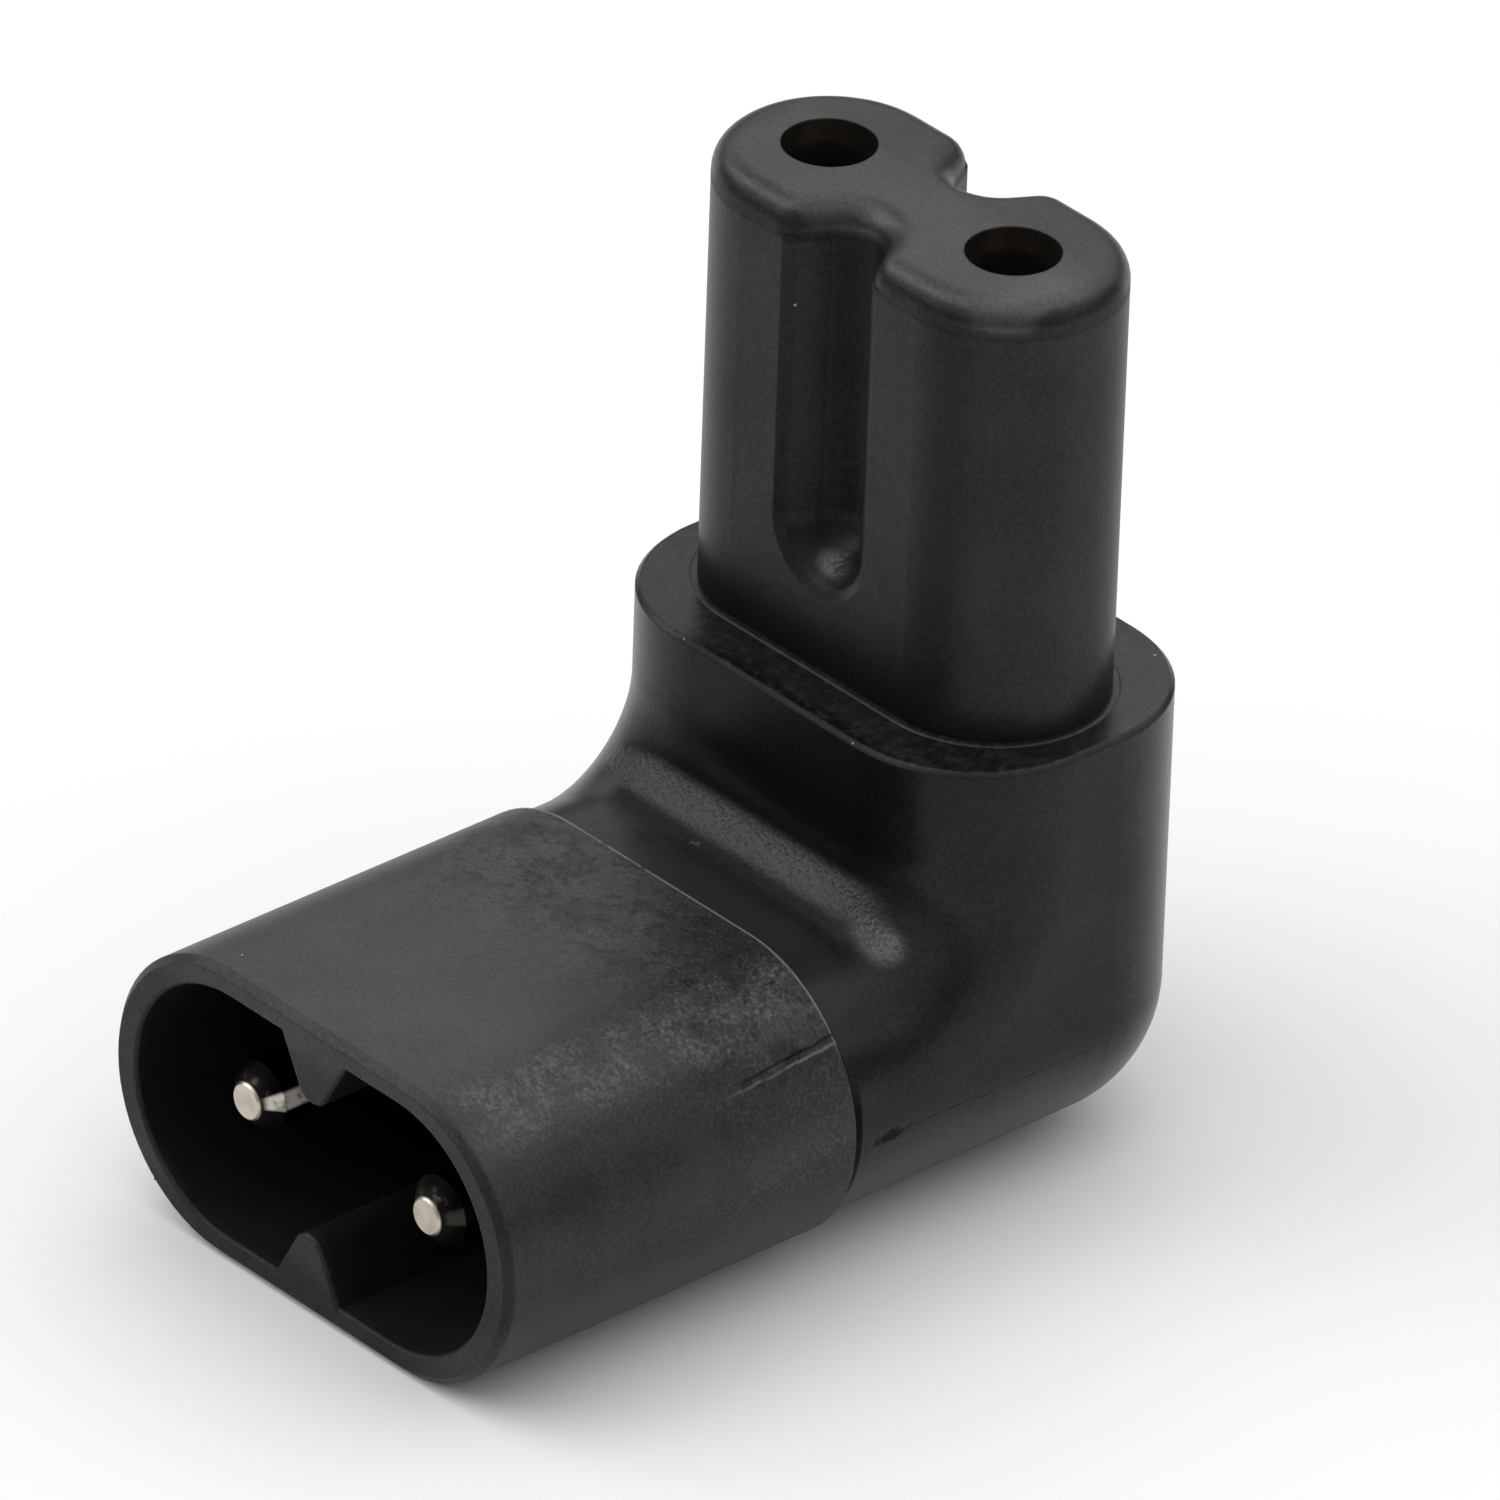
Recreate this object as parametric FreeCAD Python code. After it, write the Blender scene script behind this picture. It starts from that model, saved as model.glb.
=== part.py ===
import FreeCAD, Part
import math
import os

from FreeCAD import Vector

# Right-angle figure eight adapter, in millimetres.
# +Z is up along the nose, -Y points out of the inlet, X runs across the two contacts.
# The origin is under the middle of the outer box, on the underside.

# Contacts, shared by the inlet and the nose
contact_pitch = 8.6
pin_diameter = 2.4
pin_recess = 1.06
pin_tip_diameter = 1.16
pin_tip_length = 0.62
pin_root_diameter = 3.0
pin_tail_length = 1.8

# Inlet shroud
shroud_length = 14.4
shroud_width = 18.9
arm_height = 10.4
shroud_end_wall = 1.1
shroud_flat_wall = 0.84
shroud_floor = 1.6
rim_outer_bevel = 0.25
rim_inner_bevel = 0.1
key_height = 1.97
key_root_width = 3.0
key_tip_radius = 0.72

# Plugs that the elbow is moulded round
plug_wall = 1.9
plug_length = 2.6
nose_root_length = 3.4

# Elbow overmould
seam_step = 0.3
seam_bevel = 0.12
column_depth = 11.7
column_rise = 5.4
inner_bend_radius = 2.4
arm_stub = 1.55
elbow_edge_radius = 4.8
ledge_bevel = 0.15

# Nose
nose_width = 15.8
nose_thickness = 7.6
nose_length = 15.6
nose_cap_height = 1.0
nose_cap_round = 0.94
nose_cap_corner = 1.1
groove_depth = 1.95
groove_floor_radius = 1.4
groove_half_angle = 30.0
groove_corner_bevel = 0.22
groove_end_rise = 2.8
entry_clearance = 0.33

# Contact sleeves and the flat links between them and the pins
contact_slip = 0.02
sleeve_wall = 0.5
sleeve_seat_slip = 0.03
sleeve_recess = 2.0
sleeve_lead_in = 0.3
sleeve_slot = 0.3
sleeve_foot_length = 2.8
link_width = 1.8
link_thickness = 0.5
link_bend_radius = 1.5
link_hold = 1.4

# Share of a wall that one edge round may take, where both its edges are rounded
largest_round_share = 0.49

# Places and sizes that follow from the values above
elbow_width = shroud_width - 2 * seam_step
elbow_height = arm_height - 2 * seam_step
edge_radius = min(elbow_edge_radius, largest_round_share * elbow_height)
arm_axis_z = arm_height / 2
ledge_z = arm_height + column_rise
nose_tip_z = ledge_z + nose_length
nose_root_z = ledge_z - nose_root_length
seam_to_nose = column_depth / 2 + inner_bend_radius + arm_stub
mouth_y = -(shroud_length + seam_to_nose + column_depth / 2) / 2
seam_y = mouth_y + shroud_length
nose_y = seam_y + seam_to_nose
floor_y = seam_y - shroud_floor
plug_y = seam_y + plug_length
pin_tail_y = plug_y + pin_tail_length
pin_tip_y = mouth_y + pin_recess
cavity_width = shroud_width - 2 * shroud_end_wall
cavity_height = arm_height - 2 * shroud_flat_wall
pin_radius = pin_diameter / 2
sleeve_radius = pin_radius + contact_slip
sleeve_top_z = nose_tip_z - sleeve_recess
contact_sides = {"left": -contact_pitch / 2, "right": contact_pitch / 2}

# Directions and turns, and small lengths used for construction only
x_axis = Vector(1, 0, 0)
y_axis = Vector(0, 1, 0)
z_axis = Vector(0, 0, 1)
full_turn = 360
quarter_turn = 90
diagonal = math.sqrt(0.5)
overrun = 1.0
tolerance = 1e-5


def closed_wire(start, *steps):
    """Wire from start through each step: a corner, or an arc's middle and end. It ends at its start."""
    edges = []
    here = start
    for step in steps:
        if isinstance(step, tuple):
            middle, end = step
            edges.append(Part.Arc(here, middle, end).toShape())
        else:
            end = step
            edges.append(Part.LineSegment(here, end).toShape())
        here = end
    return Part.Wire(edges)


def stadium(width, height, centre, up):
    """Outline with two flats along X and full round ends."""
    flat = x_axis * ((width - height) / 2)
    tip = x_axis * (width / 2)
    rise = up * (height / 2)
    low_left = centre - flat - rise
    return closed_wire(
        low_left,
        centre + flat - rise,
        (centre + tip, centre + flat + rise),
        centre - flat + rise,
        (centre - tip, low_left),
    )


def prism(wire, along):
    return Part.Face(wire).extrude(along)


def standing(width, depth, low_z, high_z):
    """Stadium prism about the nose's axis."""
    foot = stadium(width, depth, Vector(0, nose_y, low_z), y_axis)
    return prism(foot, z_axis * (high_z - low_z))


def lying(width, height, front_y, back_y):
    """Stadium prism about the inlet's axis."""
    front = stadium(width, height, Vector(0, front_y, arm_axis_z), z_axis)
    return prism(front, y_axis * (back_y - front_y))


def turned(*profile):
    """Solid of revolution about Z from a closed profile in the XZ plane."""
    return Part.Face(closed_wire(*profile)).revolve(Vector(0, 0, 0), z_axis, full_turn)


def near(a, b):
    return abs(a - b) < tolerance


def edges_where(shape, test):
    """Edges of which every sampled point passes the test."""
    samples = 5
    real_edges = [edge for edge in shape.Edges if not edge.Degenerated]
    return [edge for edge in real_edges if all(test(point) for point in edge.discretize(samples))]


def on_mouth(point):
    return near(point.y, mouth_y)


def on_seam(point):
    return near(point.y, seam_y)


def on_ledge(point):
    return near(point.z, ledge_z)


def only_solid(shape):
    solid, = shape.Solids
    return solid


def pin(x, link):
    """Turned pin with a tapered tip and a thicker root behind the floor, pressed round the link."""
    length = pin_tail_y - pin_tip_y
    root_length = pin_tail_y - floor_y
    root_radius = pin_root_diameter / 2
    start = Vector(0, 0, 0)
    body = turned(
        start,
        Vector(root_radius, 0, 0),
        Vector(root_radius, 0, root_length),
        Vector(pin_radius, 0, root_length),
        Vector(pin_radius, 0, length - pin_tip_length),
        Vector(pin_tip_diameter / 2, 0, length),
        Vector(0, 0, length),
        start,
    )
    body.rotate(Vector(0, 0, 0), x_axis, quarter_turn)
    body.translate(Vector(x, pin_tail_y, arm_axis_z))
    return body.cut(link)


def key(sign):
    """Tapered key with a round tip on the upper or lower wall of the inlet, flush with the rim."""
    half_root = key_root_width / 2
    tip_centre = key_height - key_tip_radius
    reach = math.hypot(half_root, tip_centre)
    turn = math.atan2(tip_centre, -half_root) - math.asin(key_tip_radius / reach)
    side = math.sqrt(reach ** 2 - key_tip_radius ** 2)
    tangent_x = half_root + side * math.cos(turn)
    tangent_height = side * math.sin(turn)
    sink = shroud_flat_wall / 2

    def place(x, height):
        return Vector(x, mouth_y, arm_axis_z + sign * (cavity_height / 2 - height))

    start = place(-half_root, -sink)
    section = closed_wire(
        start,
        place(half_root, -sink),
        place(half_root, 0),
        place(tangent_x, tangent_height),
        (place(0, key_height), place(-tangent_x, tangent_height)),
        place(-half_root, 0),
        start,
    )
    return prism(section, y_axis * (floor_y - mouth_y))


def inlet_shroud(pins):
    """Sleeve with a keyed cavity, a floor for the pins and a plug behind the seam."""
    body = lying(shroud_width, arm_height, mouth_y, seam_y)
    body = body.makeChamfer(rim_outer_bevel, edges_where(body, on_mouth))
    body = body.makeChamfer(seam_bevel, edges_where(body, on_seam))
    body = body.cut(lying(cavity_width, cavity_height, mouth_y - overrun, floor_y))
    body = body.fuse([key(1), key(-1)]).removeSplitter()
    half_width = cavity_width / 2
    half_height = cavity_height / 2

    def on_cavity_rim(point):
        inside = abs(point.x) < half_width + tolerance
        return on_mouth(point) and inside and abs(point.z - arm_axis_z) < half_height + tolerance

    body = body.makeChamfer(rim_inner_bevel, edges_where(body, on_cavity_rim))
    plug_thinning = 2 * plug_wall
    plug = lying(elbow_width - plug_thinning, elbow_height - plug_thinning, seam_y, plug_y)
    return body.fuse(plug).cut(pins)


def groove_mouth():
    """Half width of a groove at the flat side of the nose."""
    angle = math.radians(groove_half_angle)
    wall_height = groove_depth - groove_floor_radius * (1 - math.sin(angle))
    return groove_floor_radius * math.cos(angle) + wall_height * math.tan(angle)


def groove(sign):
    """Cutter for a side groove of the nose, with a round floor and a round run-out at its foot."""
    angle = math.radians(groove_half_angle)
    half_thickness = nose_thickness / 2
    centre_depth = half_thickness - groove_depth + groove_floor_radius
    tangent_x = groove_floor_radius * math.cos(angle)
    tangent_y = centre_depth - groove_floor_radius * math.sin(angle)
    open_y = half_thickness + overrun
    open_x = tangent_x + (open_y - tangent_y) * math.tan(angle)
    foot_z = ledge_z + groove_end_rise + groove_mouth()

    def place(x, y):
        return Vector(x, nose_y + sign * y, foot_z)

    start = place(-open_x, open_y)
    section = closed_wire(
        start,
        place(-tangent_x, tangent_y),
        (place(0, half_thickness - groove_depth), place(tangent_x, tangent_y)),
        place(open_x, open_y),
        start,
    )
    channel = prism(section, z_axis * (nose_tip_z + overrun - foot_z))
    ball = Part.makeSphere(groove_floor_radius, place(0, centre_depth))
    flare = Part.makeCone(tangent_x, open_x, open_y - tangent_y, place(0, tangent_y), y_axis * sign)
    return channel.fuse([ball, flare])


def on_nose_flat(point):
    return near(abs(point.y - nose_y), nose_thickness / 2)


def nose_body(grooves):
    """Nose from its root in the elbow to the foot of its cap, with its groove edges bevelled."""
    body = standing(nose_width, nose_thickness, nose_root_z, nose_tip_z - nose_cap_height).cut(grooves)
    mouth_x = groove_mouth()

    def on_groove_edge(point):
        return on_nose_flat(point) and abs(point.x) < mouth_x + tolerance and point.z > ledge_z

    return body.makeChamfer(groove_corner_bevel, edges_where(body, on_groove_edge))


def nose_cap(grooves):
    """Rounded end of the nose, with wider corner rounds at the grooves than the body below it."""
    cap = standing(nose_width, nose_thickness, nose_tip_z - nose_cap_height, nose_tip_z).cut(grooves)
    flat_end = (nose_width - nose_thickness) / 2

    def on_corner(point):
        return on_nose_flat(point) and abs(point.x) < flat_end - tolerance

    corners = [edge for edge in edges_where(cap, on_corner) if near(edge.Length, nose_cap_height)]
    cap = cap.makeFillet(nose_cap_corner, corners)
    top_edges = edges_where(cap, lambda point: near(point.z, nose_tip_z))
    return cap.makeFillet(nose_cap_round, top_edges)


def nose_insert():
    """Figure eight nose with a narrow entry and a wider sleeve seat on each contact axis."""
    grooves = [groove(1), groove(-1)]
    body = nose_body(grooves).fuse(nose_cap(grooves))
    entry_radius = pin_radius + entry_clearance
    seat_radius = sleeve_radius + sleeve_wall + sleeve_seat_slip
    bores = []
    for x in contact_sides.values():
        entry_foot = Vector(x, nose_y, sleeve_top_z)
        seat_foot = Vector(x, nose_y, nose_root_z - overrun)
        bores.append(Part.makeCylinder(entry_radius, sleeve_recess + overrun, entry_foot))
        bores.append(Part.makeCylinder(seat_radius, sleeve_top_z - seat_foot.z, seat_foot))
    return body.cut(bores)


def contact_sleeve(x, link):
    """Turned sleeve with a lead-in, a spring slot and a solid foot pressed round the link."""
    outer_radius = sleeve_radius + sleeve_wall
    top = sleeve_top_z - ledge_z
    start = Vector(0, 0, 0)
    body = turned(
        start,
        Vector(outer_radius, 0, 0),
        Vector(outer_radius, 0, top),
        Vector(sleeve_radius + sleeve_lead_in, 0, top),
        Vector(sleeve_radius, 0, top - sleeve_lead_in),
        Vector(sleeve_radius, 0, sleeve_foot_length),
        Vector(0, 0, sleeve_foot_length),
        start,
    )
    slot_foot = Vector(-sleeve_slot / 2, 0, sleeve_foot_length)
    slot_length = top - sleeve_foot_length + overrun
    slot = Part.makeBox(sleeve_slot, outer_radius + overrun, slot_length, slot_foot)
    body = body.cut(slot)
    body.translate(Vector(x, nose_y, ledge_z))
    return body.cut(link)


def contact_link(x):
    """Flat strip that runs back from the pin's tail, turns up and rises into the sleeve's foot."""
    side = x - link_width / 2
    half = link_thickness / 2
    start_y = pin_tail_y - link_hold
    end_z = ledge_z + link_hold
    bend_y = nose_y - half - link_bend_radius
    bend_z = arm_axis_z + half + link_bend_radius
    inner_turn = link_bend_radius * diagonal
    outer_turn = (link_bend_radius + link_thickness) * diagonal
    outer_middle = Vector(side, bend_y + outer_turn, bend_z - outer_turn)
    inner_middle = Vector(side, bend_y + inner_turn, bend_z - inner_turn)
    start = Vector(side, start_y, arm_axis_z - half)
    outline = closed_wire(
        start,
        Vector(side, bend_y, arm_axis_z - half),
        (outer_middle, Vector(side, nose_y + half, bend_z)),
        Vector(side, nose_y + half, end_z),
        Vector(side, nose_y - half, end_z),
        Vector(side, nose_y - half, bend_z),
        (inner_middle, Vector(side, bend_y, arm_axis_z + half)),
        Vector(side, start_y, arm_axis_z + half),
        start,
    )
    return prism(outline, x_axis * link_width)


def elbow_overmould(inserts):
    """Elbow with a blended inner bend, a ball-rounded heel and full round edges, round the inserts."""
    x = -elbow_width / 2
    low_z = seam_step
    high_z = low_z + elbow_height
    front_y = nose_y - column_depth / 2
    back_y = nose_y + column_depth / 2
    inner_y = front_y - inner_bend_radius
    inner_z = high_z + inner_bend_radius
    inner_turn = inner_bend_radius * diagonal
    inner_middle = Vector(x, inner_y + inner_turn, inner_z - inner_turn)
    start = Vector(x, seam_y, low_z)
    profile = closed_wire(
        start,
        Vector(x, back_y, low_z),
        Vector(x, back_y, ledge_z),
        Vector(x, front_y, ledge_z),
        Vector(x, front_y, inner_z),
        (inner_middle, Vector(x, inner_y, high_z)),
        Vector(x, seam_y, high_z),
        start,
    )
    body = prism(profile, x_axis * elbow_width)
    side_edges = edges_where(body, lambda point: near(abs(point.x), elbow_width / 2))
    end_edges = edges_where(body, on_seam) + edges_where(body, on_ledge)
    rounded_edges = [edge for edge in side_edges if not any(edge.isSame(end) for end in end_edges)]
    rounded_edges += edges_where(body, lambda point: near(point.y, back_y) and near(point.z, low_z))
    body = body.makeFillet(edge_radius, rounded_edges)
    body = body.makeChamfer(ledge_bevel, edges_where(body, on_ledge))
    return body.cut(inserts)


links = {side: contact_link(x) for side, x in contact_sides.items()}
pins = {side: pin(x, links[side]) for side, x in contact_sides.items()}
parts = {"inlet_shroud": inlet_shroud(list(pins.values())), "nose_insert": nose_insert()}
for side in contact_sides:
    parts[f"pin_{side}"] = pins[side]
    parts[f"contact_link_{side}"] = links[side]
parts["elbow_overmould"] = elbow_overmould(list(parts.values()))
for side, x in contact_sides.items():
    parts[f"contact_sleeve_{side}"] = contact_sleeve(x, links[side])

os.makedirs("parts", exist_ok=True)
for name, shape in parts.items():
    solid = only_solid(shape)
    solid.exportStep(f"parts/{name}.step")
    print(name, "valid" if solid.isValid() else "not valid", round(solid.Volume, 3))
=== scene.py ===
import math
import bpy
import bmesh
from mathutils import Matrix, Vector


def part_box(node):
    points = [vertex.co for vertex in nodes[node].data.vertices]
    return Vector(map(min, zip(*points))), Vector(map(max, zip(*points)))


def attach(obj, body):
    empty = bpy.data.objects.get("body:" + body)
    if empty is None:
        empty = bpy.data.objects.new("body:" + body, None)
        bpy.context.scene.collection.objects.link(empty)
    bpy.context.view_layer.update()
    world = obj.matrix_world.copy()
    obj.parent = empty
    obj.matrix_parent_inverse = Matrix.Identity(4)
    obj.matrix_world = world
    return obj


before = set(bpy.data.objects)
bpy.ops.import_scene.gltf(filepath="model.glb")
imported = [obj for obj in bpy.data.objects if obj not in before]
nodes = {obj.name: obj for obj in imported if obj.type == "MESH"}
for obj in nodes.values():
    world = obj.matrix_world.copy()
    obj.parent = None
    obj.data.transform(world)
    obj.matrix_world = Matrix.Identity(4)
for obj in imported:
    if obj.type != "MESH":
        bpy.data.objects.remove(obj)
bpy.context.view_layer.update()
mm = 0.001
noiseMiddle = 0.5
shadeEdge = (0.3, 0.7)  # noise levels that give the dark and the light tone
bandCore = 0.4  # share of a line's half width that has its full strength
speckEdge = (0.6, 1.0)
plasticTint = (1.0, 0.96, 0.945, 1.0)

shroudLow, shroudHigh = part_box("inlet_shroud")
elbowLow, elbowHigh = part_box("elbow_overmould")
noseLow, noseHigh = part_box("nose_insert")
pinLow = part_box("pin_right")[0]
seamY = elbowLow[1] / mm  # places below are in millimetres
ledgeZ = elbowHigh[2] / mm
elbowSideX = elbowHigh[0] / mm
noseY = (noseLow[1] + noseHigh[1]) / 2 / mm
noseTipZ = noseHigh[2] / mm
noseRadius = (noseHigh[1] - noseLow[1]) / 2 / mm
noseFlat = noseHigh[0] / mm - noseRadius
armAxisZ = (shroudLow[2] + shroudHigh[2]) / 2 / mm
mouthY = shroudLow[1] / mm
pinTipY = pinLow[1] / mm
print("frame loaded")


def addNode(tree, kind, inputs=None, **settings):
    node = tree.nodes.new(kind)
    for name, value in settings.items():
        setattr(node, name, value)
    for name, value in (inputs or {}).items():
        if isinstance(value, bpy.types.NodeSocket):
            tree.links.new(value, node.inputs[name])
        else:
            node.inputs[name].default_value = value
    return node


def calc(tree, operation, *values):
    return addNode(tree, "ShaderNodeMath", dict(enumerate(values)), operation=operation).outputs[0]


def fade(tree, value, start, end):  # 0 at the start and 1 at the end, eased
    inputs = {"Value": value, "From Min": start, "From Max": end}
    return addNode(tree, "ShaderNodeMapRange", inputs, interpolation_type="SMOOTHSTEP").outputs[0]


def fadeOut(tree, value, start, end):
    return calc(tree, "SUBTRACT", 1.0, fade(tree, value, start, end))


def band(tree, value, middle, half):  # 1 on the middle value, 0 from half a width on
    distance = calc(tree, "ABSOLUTE", calc(tree, "SUBTRACT", value, middle))
    return fadeOut(tree, distance, half * bandCore, half)


def product(tree, first, *others):
    for other in others:
        first = calc(tree, "MULTIPLY", first, other)
    return first


def noise(tree, place, scale, detail=3.0):
    inputs = {"Vector": place, "Scale": scale, "Detail": detail}
    return addNode(tree, "ShaderNodeTexNoise", inputs).outputs[0]


def blob(tree, axis, centre, stretch):  # distance from a centre, each axis divided by its stretch
    total = 0.0
    for index in range(3):
        step = calc(tree, "DIVIDE", calc(tree, "SUBTRACT", axis[index], centre[index]), stretch[index])
        total = calc(tree, "MULTIPLY_ADD", step, step, total)
    return calc(tree, "SQRT", total)


def blendColour(tree, factor, first, second):
    mix = addNode(tree, "ShaderNodeMix", data_type="RGBA")
    for socket, value in zip((mix.inputs[0], mix.inputs[6], mix.inputs[7]), (factor, first, second)):
        if isinstance(value, bpy.types.NodeSocket):
            tree.links.new(value, socket)
        else:
            socket.default_value = value
    return mix.outputs[2]


def grey(level, warmth=0.0):
    return (level * (1 + warmth), level, level * (1 - warmth), 1.0)


def startMaterial(name):
    material = bpy.data.materials.new(name)
    material.use_nodes = True
    tree = material.node_tree
    place = addNode(tree, "ShaderNodeTexCoord").outputs["Object"]
    scaled = addNode(tree, "ShaderNodeVectorMath", {"Vector": place, "Scale": 1 / mm}, operation="SCALE")
    split = addNode(tree, "ShaderNodeSeparateXYZ", {"Vector": scaled.outputs[0]})
    return material, tree, scaled.outputs[0], split.outputs


def plasticBase(tree, place, look):
    cloud = noise(tree, place, look["cloudScale"], detail=4.0)
    grain = noise(tree, place, look["grainScale"], detail=2.0)
    shade = calc(tree, "MULTIPLY_ADD", calc(tree, "SUBTRACT", grain, noiseMiddle), look["grainShade"], cloud)
    colour = blendColour(tree, fade(tree, shade, *shadeEdge), grey(look["dark"]), grey(look["light"]))
    rough = calc(tree, "MULTIPLY_ADD", cloud, look["roughSpread"], look["rough"])
    height = calc(tree, "MULTIPLY", grain, look["grainHeight"])
    offMiddle = calc(tree, "SUBTRACT", shade, noiseMiddle)
    gloss = calc(tree, "MULTIPLY_ADD", offMiddle, look["glossSpread"], look["gloss"])
    return colour, rough, height, gloss


def addSpecks(tree, axis, colour, specks):  # specks of dust and pale marks
    for x, y, z, radius, level in specks:
        spot = fadeOut(tree, blob(tree, axis, (x, y, z), (radius, radius, radius)), *speckEdge)
        colour = blendColour(tree, spot, colour, grey(level))
    return colour


def scaleBy(tree, value, factor, part):  # value times factor where part is 1, unchanged where it is 0
    return product(tree, value, calc(tree, "MULTIPLY_ADD", part, factor - 1, 1.0))


def finishPlastic(tree, look, colour, rough, height, gloss):
    bevel = addNode(tree, "ShaderNodeBevel", {"Radius": look["softEdge"] * mm}, samples=4)
    bumpInputs = {"Height": height, "Strength": 1.0, "Distance": mm, "Normal": bevel.outputs[0]}
    bump = addNode(tree, "ShaderNodeBump", bumpInputs)
    shader = tree.nodes["Principled BSDF"]
    shader.inputs["Specular Tint"].default_value = plasticTint
    tree.links.new(gloss, shader.inputs["Specular IOR Level"])
    tree.links.new(colour, shader.inputs["Base Color"])
    tree.links.new(rough, shader.inputs["Roughness"])
    tree.links.new(bump.outputs[0], shader.inputs["Normal"])


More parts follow.
